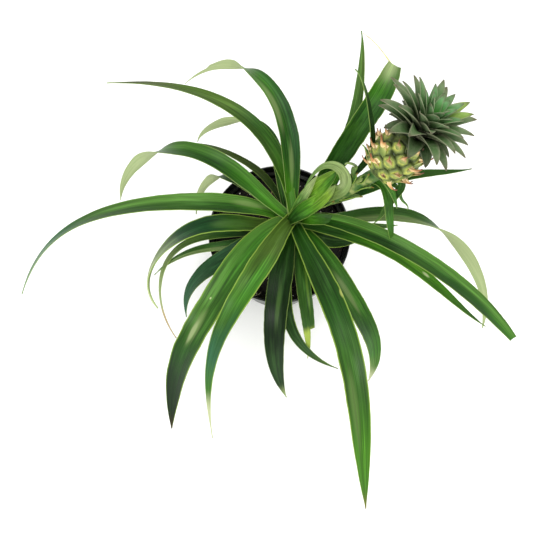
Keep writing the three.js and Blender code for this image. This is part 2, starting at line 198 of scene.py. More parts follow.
class Growth(Nodes):
    """A Geometry Nodes tree with named inputs: a geometry, numbers, others and a material."""

    def __init__(self, name, numbers="", **others):
        super().__init__(bpy.data.node_groups.new(name, "GeometryNodeTree"))
        kinds = [("Geometry", "Geometry"), *((n, "Float") for n in numbers.split()), *others.items()]
        socket = self.tree.interface.new_socket
        for label, kind in [*kinds, ("Material", "Material")]:
            socket(label, in_out="INPUT", socket_type="NodeSocket" + kind)
        socket("Geometry", in_out="OUTPUT", socket_type="NodeSocketGeometry")
        self.given = self.add("NodeGroupInput").outputs

    def __getitem__(self, name):
        return Value(self, self.given[name])

    def attribute(self, name, kind="FLOAT"):
        return self.made("GeometryNodeInputNamedAttribute", data_type=kind, Name=name)

    def place(self):
        return self.made("GeometryNodeInputPosition")

    def pattern(self, name):
        return self.made("GeometryNodeObjectInfo", "Geometry", Object=self[name])

    def drawn(self, low, high, kind="FLOAT"):
        """A random number or vector for each point, by the tree's own seed."""
        return self.made("FunctionNodeRandomValue", data_type=kind, Min=low, Max=high, Seed=self["Seed"])

    def keep(self, geometry, **values):
        """The geometry with these numbers stored on its points."""
        for name, value in values.items():
            geometry = self.made("GeometryNodeStoreNamedAttribute", data_type="FLOAT", domain="POINT",
                                 Geometry=geometry, Name=name, Value=value)
        return geometry

    def copies(self, points, pattern, **given):
        return self.made("GeometryNodeInstanceOnPoints", Points=points, Instance=pattern, **given)

    def realized(self, geometry):
        return self.made("GeometryNodeRealizeInstances", Geometry=geometry)

    def moved(self, geometry, **given):
        return self.made("GeometryNodeSetPosition", Geometry=geometry, **given)

    def end(self, geometry, crease=50):
        """Realizes, smooths all but the creases, gives the finish and closes the tree."""
        geometry = self.made("GeometryNodeSetShadeSmooth", Geometry=self.realized(geometry))
        sharp = self.made("GeometryNodeInputMeshEdgeAngle") > radians(crease)
        geometry = self.made("GeometryNodeSetShadeSmooth", domain="EDGE", Geometry=geometry,
                             Selection=sharp, Shade_Smooth=False)
        geometry = self.made("GeometryNodeSetMaterial", Geometry=geometry, Material=self["Material"])
        self.put(self.add("NodeGroupOutput").inputs[0], geometry)
        return self.tree


def grown(name, tree, base, **values):
    """The plain mesh that a tree makes of a base mesh, as an object at the origin."""
    piece = linked(name, base)
    growth = piece.modifiers.new("growth", "NODES")
    growth.node_group = tree
    for socket in tree.interface.items_tree:
        if socket.in_out == "INPUT" and socket.name in values:
            value = values[socket.name]
            growth[socket.identifier] = float(value) if socket.socket_type == "NodeSocketFloat" else value
    graph = bpy.context.evaluated_depsgraph_get()
    mesh = bpy.data.meshes.new_from_object(
        piece.evaluated_get(graph), preserve_all_data_layers=True, depsgraph=graph
    )
    piece.modifiers.remove(growth)
    piece.data = mesh
    mesh.name = name
    return piece


def mesh_of(name, points, faces=(), edges=(), **attributes):
    """A mesh with numbers or vectors stored on its points."""
    mesh = bpy.data.meshes.new(name)
    mesh.from_pydata([tuple(p) for p in points], list(edges), list(faces))
    for label, values in attributes.items():
        values = np.asarray(values, np.float32)
        kind, key = ("FLOAT_VECTOR", "vector") if values.ndim == 2 else ("FLOAT", "value")
        mesh.attributes.new(label, kind, "POINT").data.foreach_set(key, values.ravel())
    return mesh


def line_mesh(name, points, **attributes):
    """A line through points in millimetres."""
    edges = [(i, i + 1) for i in range(len(points) - 1)]
    return mesh_of(name, points * MM, edges=edges, **attributes)


def shown(piece, slot, *nodes):
    """The piece rides with the plant and stands for CAD nodes, which it hides. slot is not used."""
    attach(piece, "root")
    if nodes:
        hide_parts(*nodes)
    return piece


# ---- finishes
TONES = {
    "lime": "#7aa838",
    "yellow_lime": "#98b84e",
    "bright": "#4d8620",
    "grass": "#478229",
    "leaf": "#3a6425",
    "deep": "#29561a",
    "dark": "#204413",
    "night": "#17390e",
    "teal": "#35705a",
    "pine": "#245035",
    "olive": "#5a7636",
    "dark_olive": "#40521c",
    "fresh": "#67964c",
    "sage": "#6f9558",
    "grey_sage": "#93a678",
    "bleached": "#fbf8ee",
    "scurf": "#bccaa0",
    "pale_scurf": "#eaefd8",
    "margin": "#b4d068",
    "straw": "#cfd08a",
    "tan": "#a58a55",
    "brown": "#5b4128",
}

# A leaf's tones are taken down by this much in the studio's bright light.
LEAF_DEPTH = (0.47, 0.53, 0.33)


def tone(name):
    """A named tone, or #rrggbb, as the linear colour that a shader takes."""
    digits = TONES.get(name, name).lstrip("#")
    parts = [int(digits[i : i + 2], 16) / 255 for i in (0, 2, 4)]
    linear = [c / 12.92 if c <= 0.04045 else ((c + 0.055) / 1.055) ** 2.4 for c in parts]
    return (*linear, 1.0)


class Finish(Nodes):
    """A material, its shader, and short calls for what feeds it."""

    def __init__(self, name, **sockets):
        self.material = bpy.data.materials.new(name)
        self.material.use_nodes = True
        super().__init__(self.material.node_tree)
        self.shader = self.tree.nodes["Principled BSDF"]
        for label, value in sockets.items():
            self.shader.inputs[label.replace("_", " ")].default_value = value

    def attribute(self, name):
        return self.made("ShaderNodeAttribute", "Fac", attribute_name=name)

    def place(self):
        return self.made("ShaderNodeTexCoord", "Object")

    def ramp(self, value, tones):
        """Tones at even distances along a number from 0 to 1."""
        node = self.add("ShaderNodeValToRGB", Fac=value)
        elements = node.color_ramp.elements
        names = tones.split()
        while len(elements) < len(names):
            elements.new(0.5)
        for i, name in enumerate(names):
            elements[i].position = i / (len(names) - 1)
            elements[i].color = tone(name)
        return Value(self, node.outputs["Color"])

    def mixed(self, share, low, high):
        low, high = (tone(side) if isinstance(side, str) else side for side in (low, high))
        return self.made("ShaderNodeMix", data_type="RGBA", blend_type="MIX", Factor=share, A=low, B=high)

    def bump(self, height, depth, strength=0.6):
        normal = self.made("ShaderNodeBump", Height=height, Distance=depth, Strength=strength)
        self.put(self.shader.inputs["Normal"], normal)

    def done(self, colour, roughness=None):
        self.put(self.shader.inputs["Base Color"], colour)
        if roughness is not None:
            self.put(self.shader.inputs["Roughness"], roughness)
        return self.material


TONE_WANDER = 0.16  # how far the tones stray along a blade
PAINTED_SIDE_FADE = 0.25  # over how much of the blade the painted light and shade on one half fades
PAINTED_HIGHLIGHT_LIFT = ((1.5, 1.5, 1.5), (0.025, 0.035, 0.025))  # a painted highlight multiplies the tone and adds to it
STREAK_LIGHT = (2.5, -0.22)  # the streak's noise becomes light by this factor and this shift
VEINS = 15 * pi
FLECK_LENGTH = 0.03  # a mark up to this long is a clear fleck, a longer one a soft patch, often a painted highlight
DRY_EDGE = 0.07  # over how much of the blade a dry end sets in


def blade_finish(name, tones, seed, dry=None, under="scurf", marks=(), rim=0.3, half=None):
    """A strap leaf: tones from root to tip, streaks, a broken painted highlight, a pale rim, a scurfy
    underside.

    half paints light and shade on one side (-1 or 1) of the channel, a tone by a share, until a place along
    the blade. A mark is its place along and across, its length, breadth and tone: a soft one is often a
    painted highlight, a small one a real fleck. dry is where the end withers, and its tone.
    """
    f = Finish(name, Specular_IOR_Level=0.14)
    along, across, upper = f.attributes("along across upper")

    def spread(across_steps, along_steps, shift, scale=1.0, detail=2.0):
        place = f.combined(across * across_steps, along * along_steps, seed + shift)
        return f.noise(place, scale, detail)

    streak = spread(7.0, 3.0, 0.0, 1.4, 5.0)
    face = f.ramp((spread(1.0, 6.0, 4.0) - 0.5) * TONE_WANDER + along, tones)
    # half: painted light and shade on one side of the channel, fading along the blade past until
    if half:
        side, painted_side_tone, share, until = half
        share = f.smooth(along, until + PAINTED_SIDE_FADE, until) * share
        face = f.mixed(f.smooth(across, -0.1 * side, 0.35 * side) * share, face, painted_side_tone)
    # a painted highlight: a broken pale sheen along the blade's middle that lifts its tone
    painted_highlight = f.smooth(spread(1.7, 4.2, 9.0), 0.44, 0.7) * f.smooth(abs(across), 0.9, 0.3)
    face = f.mixed(painted_highlight * 0.8, face, f.vector("MULTIPLY_ADD", face, *PAINTED_HIGHLIGHT_LIFT))
    veins = f.sine(across * VEINS)
    light = veins * 0.04 + (streak * STREAK_LIGHT[0] + STREAK_LIGHT[1])
    face = f.scaled(face, light)
    back = f.mixed(f.smooth(streak, 0.35, 0.75) * 0.45, under, "grey_sage")
    colour = f.mixed(upper, f.mixed(0.12, back, face), face)
    edge = f.smooth(abs(across), 0.96 - 0.1 * rim, 1.0)
    colour = f.mixed(edge * rim, colour, "margin")
    # marks: soft painted highlights, tinted patches and small real flecks
    for mark_along, mark_across, length, breadth, mark_tone in marks:
        away = f.combined((along - mark_along) / length, (across - mark_across) / breadth, 0.0)
        ragged = streak + (f.vector("LENGTH", away) - 0.5)
        strength = 0.38 if length > FLECK_LENGTH else 0.9
        colour = f.mixed(f.smooth(ragged, 1.2, 0.4) * strength, colour, mark_tone)
    if dry:
        start, dry_tone = dry
        withered = f.smooth(streak * 0.06 + along, start, start + DRY_EDGE)
        colour = f.mixed(withered, colour, dry_tone)
    f.bump(streak * 2.0 + veins, 0.07 * MM)
    rough = f.blend(upper, 0.62, streak * 0.2 + 0.28)
    return f.done(f.vector("MULTIPLY", colour, LEAF_DEPTH), rough)


# ---- blades
STATIONS = 84  # steps along a blade
COLUMNS = 15  # points across each face of a blade
BEND = 0.35  # how far a blade leans into the plane of its own bend
OPENED = 0.35  # where along a blade it has opened from its narrow root
ROOT_WIDTH = 0.6  # the root's width, as a share of the blade's
ROOT_FOLD = radians(30)  # how much more the root is folded than the blade
LEAST_HALF = 0.5 * MM  # half the width of the narrowest tip
RIPPLES = (5.0, 0.8)  # the ripple's steps along and across a blade
NIBBLES = 16.0  # the steps along a blade in which its edges waver
NIBBLE = 0.16  # how far they waver, as a share of half the width
SKEWED_FROM = 0.8  # where along a blade a skewed end starts


def smooth(value, low, high):
    share = np.clip((np.asarray(value, float) - low) / (high - low), 0, 1)
    return share * share * (3 - 2 * share)


def curve_through(points, t):
    """The smooth curve through evenly spaced points (Lagrange's polynomial)."""
    at = np.asarray(t, float) * (len(points) - 1)
    total = np.zeros((len(at), 3))
    for i, point in enumerate(points):
        share = np.ones(len(at))
        for j in range(len(points)):
            if j != i:
                share *= (at - j) / (i - j)
        total += share[:, None] * np.asarray(point, float)
    return total


def unit(rows):
    return rows / np.linalg.norm(rows, axis=-1, keepdims=True)


def midrib_mesh(name, points, roll, rolled):
    """A midrib's line with the blade's side and upward directions on its points."""
    t = np.linspace(0, 1, STATIONS + 1)
    tangents = unit(curve_through(points, t + 0.01) - curve_through(points, t - 0.01))
    levels = unit(np.cross((0, 0, 1), tangents))
    bend = unit(np.cross(tangents[:-1], tangents[1:]).sum(0))
    if bend @ levels[len(levels) // 2] < 0:
        bend = -bend
    lean = BEND * smooth(t, 0, 0.5)[:, None]
    sides = levels * (1 - lean) + bend * lean
    sides = unit(sides - tangents * (sides * tangents).sum(1, keepdims=True))
    turn = radians(roll) * smooth(t, *rolled)[:, None]
    sides = sides * np.cos(turn) + np.cross(tangents, sides) * np.sin(turn)
    return line_mesh(name, curve_through(points, t), side=sides, up=np.cross(tangents, sides))


def blade_growth():
    """A channelled blade along a midrib: a sleeve of points set out across each station."""
    g = Growth("blade_growth", "Width Steepness Point End Fold Middle Edge Root TornAt TornShare "
                               "Skew Ripple Seed")
    sleeve = g.made("GeometryNodeMeshCylinder", fill_type="NGON", Vertices=2 * COLUMNS,
                    Side_Segments=STATIONS, Radius=1.0, Depth=1.0)
    x, y, z = g.parted(g.place())
    around = g.math("FRACT", g.math("ARCTAN2", y, x) / tau + 1.0001)
    column = g.math("FLOOR", around * (2 * COLUMNS))
    upper = column < COLUMNS - 0.5
    step = 2 / (COLUMNS - 1)
    over = column * -step + 1.0
    under = column * step - (1.0 + step * COLUMNS)
    across = g.sine(g.blend(upper, under, over) * (pi / 2))
    sleeve = g.keep(sleeve, along=z + 0.5, across=across, upper=upper)
    along, across, upper = g.attributes("along across upper")

    station = g.math("ROUND", along * STATIONS)

    def sampled(value):
        return g.made("GeometryNodeSampleIndex", data_type="FLOAT_VECTOR", domain="POINT",
                      Geometry=g["Geometry"], Value=value, Index=station)

    centre = sampled(g.place())
    side, up = (sampled(g.attribute(n, "FLOAT_VECTOR")) for n in ("side", "up"))

    opened = g.smooth(along, 0.0, OPENED)
    taper = (1.0 - along ** g["Steepness"] * (1.0 - g["End"])) ** g["Point"]
    outline = g.blend(opened, ROOT_WIDTH, 1.0) * taper
    half = g.math("MAXIMUM", g["Width"] * 0.5 * outline, LEAST_HALF)
    angle = g["Fold"] + (1.0 - opened) * ROOT_FOLD
    radius = half / angle

    middle = (1.0 - along) ** 6.0 * g["Root"] + g["Middle"]  # thickest where it's fleshy, at the root
    thick = g.blend(across * across, middle, g["Edge"])
    reach = radius - (upper * 2.0 - 1.0) * (thick * 0.5)

    torn = (along > g["TornAt"]) * (across > 0.0)
    turn = angle * (across * g.blend(torn, 1.0, g["TornShare"]))
    wave = g.noise(g.combined(along * RIPPLES[0], across * RIPPLES[1], g["Seed"])) - 0.5
    rise = radius - reach * g.cosine(turn) + wave * g["Ripple"]
    nibble = g.noise(g.combined(along * NIBBLES, g.math("SIGN", across), g["Seed"])) - 0.5
    out = reach * g.sine(turn) + nibble * across * (half * NIBBLE)

    skewed = g.smooth(along, SKEWED_FROM, 1.0) * (across * half) * g["Skew"]
    place = centre
    for way, far in ((side, out), (up, rise), (g.vector("CROSS_PRODUCT", side, up), skewed)):
        place = g.vector("ADD", place, g.scaled(way, far))
    return g.end(g.moved(sleeve, Position=place))


BLADE_GROWTH = blade_growth()
BLADE = {"Middle": 1.3 * MM, "Edge": 0.7 * MM, "Fold": radians(28), "Ripple": 1.6 * MM}
NOT_TORN = (2.0, 1.0)  # a tear that starts past the end


def blade(name, midrib, width, taper, tones, seed, root=1.8, roll=0, rolled=(0.4, 0.9),
          end=0, skew=0, torn=NOT_TORN, **finish):
    """One blade, grown along its midrib."""
    return grown(
        name, BLADE_GROWTH, midrib_mesh(name, midrib, roll, rolled), Width=width * MM,
        Steepness=taper[0], Point=taper[1], Root=root * MM, End=end, Skew=skew,
        TornAt=torn[0], TornShare=torn[1], Seed=seed,
        Material=blade_finish(name + "_finish", tones, seed, **finish), **BLADE,
    )


def row(foot, width, taper, through, tones, **more):
    """What one blade's row of numbers and tones says, by name."""
    return {"foot": foot, "width": width, "taper": taper, "through": through, "tones": tones, **more}


STEM_AT = (14, 9)

# The rosette, youngest first: the foot's height on the stem, the width, the taper, the midrib's
# points at a quarter, half, three quarters and the whole of its course, and tones root to tip.
# A row's half paints light and shade on one side of its blade, and its marks are often painted highlights.
LEAVES = [
    row(168, 16, (3, 0.9), [(47, 19, 206), (61, 20, 242), (51, 32, 258), (23, 21, 222)],
        "lime yellow_lime grey_sage scurf grey_sage sage", rim=0.15, under="grey_sage",
        marks=[(0.5, 0.3, 0.12, 0.5, "pale_scurf")]),
    row(167, 20, (4, 0.9), [(26, 18, 195), (36, 23, 214), (46, 28, 230), (54, 34, 240)],
        "grass bright lime bright leaf", half=(1, "yellow_lime", 0.6, 1)),
    row(166, 12, (3, 1), [(20, 17, 188), (26, 22, 204), (31, 27, 218), (36, 32, 230)],
        "bright sage scurf scurf"),
    row(163, 18, (3.5, 1.2), [(-2, 60, 200), (-41, 99, 226), (-104, 132, 214), (-186, 160, 165)],
        "bright bright leaf leaf olive olive #657048 #55534a", roll=20, dry=(0.96, "scurf"),
        half=(1, "dark_olive", 0.35, 0.8), marks=[(0.2, -0.3, 0.16, 0.2, "fresh")]),
    row(161, 26, (2.7, 1.1), [(-11, -37, 202), (-40, -88, 218), (-67, -135, 170), (-72, -213, 80)],
        "dark_olive olive olive grass grass leaf teal grass grey_sage", dry=(0.9, "bleached"), rim=0.9,
        half=(-1, "olive", 0.7, 0.35), marks=[(0.66, 0.55, 0.14, 0.5, "teal")]),
    row(160, 19, (10, 1), [(67, -8, 196), (121, -37, 212), (180, -69, 186), (244, -113, 130)],
        "deep deep deep dark leaf deep deep grass", end=0.5, skew=0.4, half=(1, "fresh", 0.75, 1),
        rim=0.5, marks=[(0.3, 0.1, 0.1, 0.2, "olive")]),
    row(158, 23, (12, 1), [(58, 57, 205), (75, 74, 245), (89, 89, 275), (107, 123, 285)],
        "lime deep deep leaf deep grass grey_sage", end=0.6, skew=0.1, rim=0.5,
        half=(-1, "deep", 0.5, 1), marks=[(1.0, 0.2, 0.1, 0.9, "pale_scurf")]),
    row(157, 20, (5, 1), [(-34, 40, 188), (-88, 67, 204), (-147, 79, 150), (-180, 54, 82)],
        "bright grass deep leaf grass grey_sage", roll=120, rolled=(0.55, 0.85), under="pale_scurf",
        half=(-1, "fresh", 0.4, 0.6)),
    row(155, 21, (3, 0.9), [(11, 59, 208), (-3, 106, 240), (-42, 155, 216), (-103, 166, 150)],
        "lime bright deep deep leaf grass olive grey_sage grey_sage", roll=150, rolled=(0.62, 0.9),
        under="pale_scurf", half=(-1, "pine", 0.5, 0.6), torn=(0.9, 0.15),
        marks=[(0.22, 0.0, 0.1, 0.3, "scurf"), (0.5, 0.6, 0.14, 0.4, "scurf")]),
    row(154, 23, (4.5, 1), [(-44, 18, 178), (-118, 13, 198), (-212, 5, 152), (-285, -56, 85)],
        "bright bright deep leaf leaf leaf teal teal", roll=20, rim=0.5, half=(-1, "fresh", 0.9, 0.55),
        marks=[(0.2, -0.3, 0.08, 0.4, "scurf"), (0.98, 0.0, 0.16, 2.0, "#d4e2e4")]),
    row(152, 25, (8, 1), [(37, -60, 206), (59, -124, 228), (74, -191, 200), (88, -286, 110)],
        "deep deep dark deep leaf leaf bright bright", dry=(0.98, "tan"), rim=0.9,
        marks=[(0.74, -0.35, 0.14, 0.4, "grey_sage"), (0.36, 0.98, 0.02, 0.2, "straw")]),
    row(151, 28, (8, 0.9), [(-37, -36, 182), (-71, -95, 196), (-99, -137, 158), (-117, -202, 70)],
        "olive grass grass leaf leaf deep night #0a1c05", dry=(0.985, "brown"), rim=0.8,
        half=(-1, "fresh", 0.6, 0.45), marks=[(0.455, -0.3, 0.006, 0.07, "pale_scurf"),
        (0.6, -0.1, 0.1, 0.3, "scurf"), (0.62, -0.15, 0.06, 0.2, "pale_scurf"),
        (0.1, -0.7, 0.1, 0.4, "sage")]),
    row(149, 17, (3, 1), [(65, -11, 176), (113, -34, 186), (164, -66, 162), (219, -98, 118)],
        "grass deep bright bright bright leaf", rim=0.7, marks=[(0.67, 0.2, 0.02, 0.25, "bleached"),
        (0.6, 0.3, 0.1, 0.5, "lime")]),
    row(148, 16, (3, 1.2), [(57, 63, 186), (73, 90, 220), (78, 123, 258), (76, 156, 290)],
        "lime bright deep leaf olive sage", half=(1, "sage", 0.5, 1)),
    row(146, 17, (5, 0.8), [(83, 7, 176), (145, 3, 174), (204, -29, 130), (229, -90, 60)],
        "grass leaf leaf leaf grey_sage", roll=-150, rolled=(0.4, 0.85), under="pale_scurf",
        half=(-1, "scurf", 0.4, 1)),
    row(145, 20, (6, 0.9), [(-42, 3, 162), (-91, -5, 165), (-136, -26, 106), (-138, -65, 48)],
        "grass olive leaf pine pine grey_sage bleached bleached", roll=40, rim=0.9,
        marks=[(0.3, 0.1, 0.12, 0.5, "sage")]),
    row(143, 23, (6, 1), [(47, -41, 178), (72, -83, 180), (95, -115, 140), (96, -153, 90)],
        "deep deep leaf leaf deep grass scurf", rim=0.7, half=(1, "grass", 0.5, 1),
        dry=(0.94, "bleached"), marks=[(0.45, 0.0, 0.14, 0.3, "scurf")]),
    row(142, 14, (4, 0.9), [(0, 62, 165), (-17, 100, 180), (-57, 115, 166), (-91, 113, 112)],
        "leaf deep leaf sage", roll=150, rolled=(0.5, 0.85), under="pale_scurf"),
    row(140, 26, (5.5, 1.1), [(4, -35, 150), (-3, -82, 152), (-5, -126, 120), (8, -168, 65)],
        "deep dark night #0f2a08 #0f2a08 night night", dry=(0.95, "scurf"),
        marks=[(0.5, 0.1, 0.14, 0.25, "sage")]),
    row(139, 24, (4, 1), [(-29, -16, 150), (-54, -32, 155), (-85, -47, 131), (-103, -80, 76)],
        "leaf pine pine pine teal", marks=[(0.35, 0.1, 0.1, 0.3, "sage")]),
    row(137, 13, (3, 1), [(48, 4, 150), (74, 1, 156), (101, 3, 150), (127, 10, 132)],
        "deep dark deep sage", half=(1, "sage", 0.5, 1), rim=0.8),
    row(136, 12, (5, 0.8), [(-29, 43, 150), (-55, 57, 154), (-79, 63, 120), (-95, 43, 64)],
        "dark dark deep scurf", roll=130, rolled=(0.45, 0.8), under="pale_scurf"),
    row(134, 11, (3, 1), [(-43, -13, 143), (-75, -18, 143), (-106, -21, 120), (-139, -34, 84)],
        "deep deep leaf sage", half=(1, "scurf", 0.4, 1)),
    row(133, 16, (6, 1), [(22, -34, 143), (26, -71, 142), (31, -100, 118), (31, -128, 88)],
        "deep leaf leaf leaf", torn=(0.75, 0.25), dry=(0.75, "#d2e274"),
        marks=[(1.0, 0.0, 0.06, 2.0, "tan"), (0.45, 0.5, 0.2, 0.2, "yellow_lime")]),
    row(131, 15, (3, 1), [(35, -7, 148), (52, -13, 150), (70, -12, 144), (91, -4, 130)],
        "deep dark deep", rim=1.0, marks=[(0.5, 0.4, 0.3, 0.15, "sage")]),
    row(130, 9, (3, 1), [(-10, 48, 158), (-33, 65, 172), (-59, 83, 162), (-90, 101, 138)],
        "deep dark_olive dark_olive olive"),
    row(128, 9, (3, 1), [(-54, -4, 146), (-106, -13, 128), (-133, -44, 74), (-119, -95, 20)],
        "dark deep olive scurf bleached", roll=20, dry=(0.85, "#ecc8b4")),
    row(127, 15, (3, 1), [(6, -53, 139), (9, -92, 134), (26, -118, 103), (66, -135, 55)],
        "night night dark dark deep olive", rim=0.7, marks=[(0.75, -0.3, 0.1, 0.2, "sage")]),
]
YOUNG_LEAVES = 3
STALK_COURSE = [(13, 9, 172.3), (29, 13, 184), (50, 17, 202), (71, 20, 232), (92, 22, 270)]

# The stalk's own leaves: as above, but the foot is a share of the stalk's length.
BRACTS = [
    row(0.3, 12, (3, 1), [(83, 20, 222), (112, 23, 250), (144, 26, 256), (184, 34, 245)],
        "dark deep leaf leaf deep"),
    row(0.4, 7, (3, 1), [(78, 34, 254), (83, 44, 296), (77, 68, 324), (64, 92, 342)],
        "dark night night dark sage"),
    row(0.85, 10, (4, 0.9), [(98, 11, 254), (103, -4, 242), (107, -19, 222), (110, -34, 196)],
        "grass grass leaf grass sage"),
    row(0.97, 7, (2, 1), [(102, 9, 262), (106, 4, 256), (109, -1, 249), (111, -5, 242)],
        "sage grass sage"),
    row(0.92, 9, (4, 1), [(113, 13, 262), (108, 4, 246), (101, -3, 228), (92, -10, 205)],
        "leaf deep sage"),
    row(0.9, 6, (2, 1), [(111, 14, 248), (115, 8, 240), (120, 4, 232), (124, -1, 224)],
        "leaf grass sage"),
    row(0.95, 6, (2, 1), [(84, 34, 276), (81, 35, 282), (78, 37, 288), (74, 40, 293)],
        "leaf sage sage"),
    row(0.8, 6, (2, 1), [(70, 32, 246), (71, 34, 252), (66, 35, 257), (61, 33, 258)],
        "sage scurf"),
]

for number, leaf in enumerate(LEAVES, 1):
    name = f"leaf_{number:02d}"
    midrib = [(*STEM_AT, leaf.pop("foot")), *leaf.pop("through")]
    piece = blade(name + "_blade", midrib, seed=number, **leaf)
    shown(piece, "young_leaf" if number <= YOUNG_LEAVES else "leaf", name)

for number, bract in enumerate(BRACTS, 1):
    name = f"bract_{number}"
    midrib = [tuple(curve_through(STALK_COURSE, [bract.pop("foot")])[0]), *bract.pop("through")]
    shown(blade(name + "_blade", midrib, seed=40 + number, root=0.6, **bract), "bract", name)

# Young leaves folded round the foot of the stalk: width, midrib, tones.
HEART = [
    (17, [(9, 3, 160), (20, 6, 189), (33, 11, 203), (45, 17, 214), (54, 24, 226)],
     "dark deep bright lime yellow_lime scurf"),
    (21, [(15, 8, 160), (27, 15, 186), (39, 22, 206), (50, 29, 220), (60, 36, 230)],
     "deep bright deep bright bright"),
    (13, [(18, 6, 160), (28, 3, 178), (40, 1, 184), (54, 0, 186), (70, -1, 184)],
     "bright bright leaf deep"),
]
for number, (width, midrib, tones) in enumerate(HEART, 1):
    leaf = blade(f"heart_{number}", midrib, width, (4, 0.9), tones, seed=60 + number, root=0.4)
    shown(leaf, "young_leaf")


# ---- stalk, thread and roots
def line_growth():
    """A round strand along a line, as thick as its points say, with small swellings."""
    g = Growth("line_growth", "Lump", Sides="Int")
    line = g.made("GeometryNodeMeshToCurve", Mesh=g["Geometry"])
    ring = g.made("GeometryNodeCurvePrimitiveCircle", Resolution=g["Sides"], Radius=1.0)
    strand = g.made("GeometryNodeCurveToMesh", Curve=line, Profile_Curve=ring,
                    Scale=g.attribute("girth"), Fill_Caps=True)
    swell = (g.noise(g.place(), 180.0, 3.0) - 0.5) * g["Lump"]
    return g.end(g.moved(strand, Offset=g.scaled(g.made("GeometryNodeInputNormal"), swell)), crease=70)


LINE_GROWTH = line_growth()


def strand(name, course, girths, finish, steps=40, sides=12, lump=0.0):
    """A strand along a course in millimetres; girths are radii at even distances."""
    t = np.linspace(0, 1, steps + 1)
    girth = np.interp(t, np.linspace(0, 1, len(girths)), girths) * MM
    base = line_mesh(name, curve_through(course, t), girth=girth)
    return grown(name, LINE_GROWTH, base, Sides=sides, Lump=lump * MM, Material=finish)


def mottled_finish(name, tones, scale, depth=0.0003, roughness=0.6):
    """Flesh or skin in patches of a few tones, slightly pitted."""
    f = Finish(name, Roughness=roughness)
    place = f.place()
    colour = f.ramp(f.smooth(f.noise(place, scale, 4.0), 0.32, 0.68), tones)
    f.bump(f.noise(place, scale * 6, 3.0), depth)
    return f.done(colour)


stalk_finish = mottled_finish("stalk_finish", "deep #4d6b2c #6c8040 #8f9a58", 110)
stalk_skin = strand("stalk_skin", STALK_COURSE, [3.4, 5.0, 5.9, 6.2, 6.5], stalk_finish, 60, 28, lump=1.2)
shown(stalk_skin, "stalk", "stalk")

# Where the scales sit along the stalk, and the turn round it from one to the next.
SCALES = {"count": 9, "from": 0.34, "step": 0.062, "turn": 0.8 * GOLDEN, "first_turn": 0.6}
SCALE = {"width": 7.5, "taper": (2.2, 0.8), "root": 0.2, "rim": 0.8, "dry": (0.9, "tan")}


def stalk_scales():
    """Narrow scale leaves that hug the stalk, one above the other."""
    tones = ("deep leaf sage", "grass sage scurf", "dark deep grey_sage")
    for i in range(SCALES["count"]):
        t = SCALES["from"] + SCALES["step"] * i
        foot, ahead = curve_through(STALK_COURSE, [t, t + 0.02])
        way = unit(ahead - foot)
        level = unit(np.cross(way, UP))
        a = i * SCALES["turn"] + SCALES["first_turn"]
        out = np.cross(level, way) * cos(a) + level * sin(a)
        out = out if out[2] > -0.4 else -out  # none of them hangs below the leaning stalk
        # off the stalk's middle by its radius, and further with every step of 7 mm
        midrib = [foot + out * (4.6 + 0.45 * k + 0.35 * k * k) + way * 7 * k for k in range(5)]
        leaf = blade(f"stalk_scale_{i + 1}", midrib, tones=tones[i % 3], seed=80 + i, **SCALE)
        shown(leaf, "bract")


stalk_scales()

root_finish = mottled_finish("root_finish", "#6f6a52 #a39c80", 300)
ROOT_GIRTHS = [0.3, 0.45, 0.4, 0.35, 0.2]
ROOTS = [
    [(-24, -64, 124), (-27, -60, 126), (-29, -66, 129), (-35, -69, 127)],
    [(-20, -62, 124), (-24, -66, 128), (-31, -68, 130), (-32, -64, 125)],
    [(-52, -34, 122), (-47, -25, 126), (-42, -20, 127), (-36, -15, 124)],
    [(-50, -20, 122), (-40, -27, 127), (-34, -24, 126), (-30, -18, 123)],
    [(22, 55, 122), (14, 60, 127), (6, 58, 126), (-1, 61, 123)],
]
for number, course in enumerate(ROOTS, 1):
    shown(strand(f"root_{number}", course, ROOT_GIRTHS, root_finish, sides=8, lump=0.5), "stem")

thread_finish = mottled_finish("dry_thread_finish", "tan straw", 200)
THREAD_COURSE = [(106, 121, 285), (96, 138, 284), (88, 152, 278), (80, 164, 270)]
thread = strand("dry_thread", THREAD_COURSE, [0.9, 0.5, 0.4, 0.25], thread_finish, sides=8, lump=0.4)
shown(thread, "leaf")

STEM_RINGS = 15  # old leaf scars, by turns a little wider and narrower
STEM_TOP = (0.85, 0.72, 0.58, 0.42, 0.3)  # how the stem's top closes, as shares of its radius


def stem_piece():
    """The short stem under the leaves, ringed with old leaf scars."""
    low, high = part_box("stem")
    bottom, top = low.z / MM, high.z / MM
    radius = (high.x - low.x) / 2 / MM
    course = [(*STEM_AT, z) for z in (bottom, (bottom + top) / 2, top)]
    shares = [0.97 + 0.03 * (-1) ** i for i in range(STEM_RINGS)] + list(STEM_TOP)
    finish = mottled_finish("stem_finish", "dark deep leaf", 160, 0.0008, 0.85)
    stem = strand("stem_core", course, [radius * s for s in shares], finish, 76, 36, lump=0.5)
    shown(stem, "stem", "stem")


stem_piece()

# ---- fruit and crown
FRUIT = {"axis": (0.54, 0.4, 0.74), "length": 49, "radius": 19.5, "eyes": 38, "eye": 8.6, "rise": 2.6}
CROWN = {"axis": (0.45, 0.36, 0.82), "leaves": 54, "core": 24, "core_radius": 8.5, "longest": 48,
         "width": 19, "pale": (29, 34)}
for part in (FRUIT, CROWN):
    part["axis"] = Vector(part["axis"]).normalized()
FRUIT["foot"] = Vector(STALK_COURSE[-1])
CROWN["foot"] = FRUIT["foot"] + FRUIT["axis"] * (FRUIT["length"] - 1)


def set_on(piece, part):
    """Sets what stands on the origin on the foot of the fruit or the crown, along its axis."""
    turn = UP.rotation_difference(part["axis"]).to_matrix().to_4x4()
    piece.data.transform(Matrix.Translation(part["foot"] * MM) @ turn)
    return piece


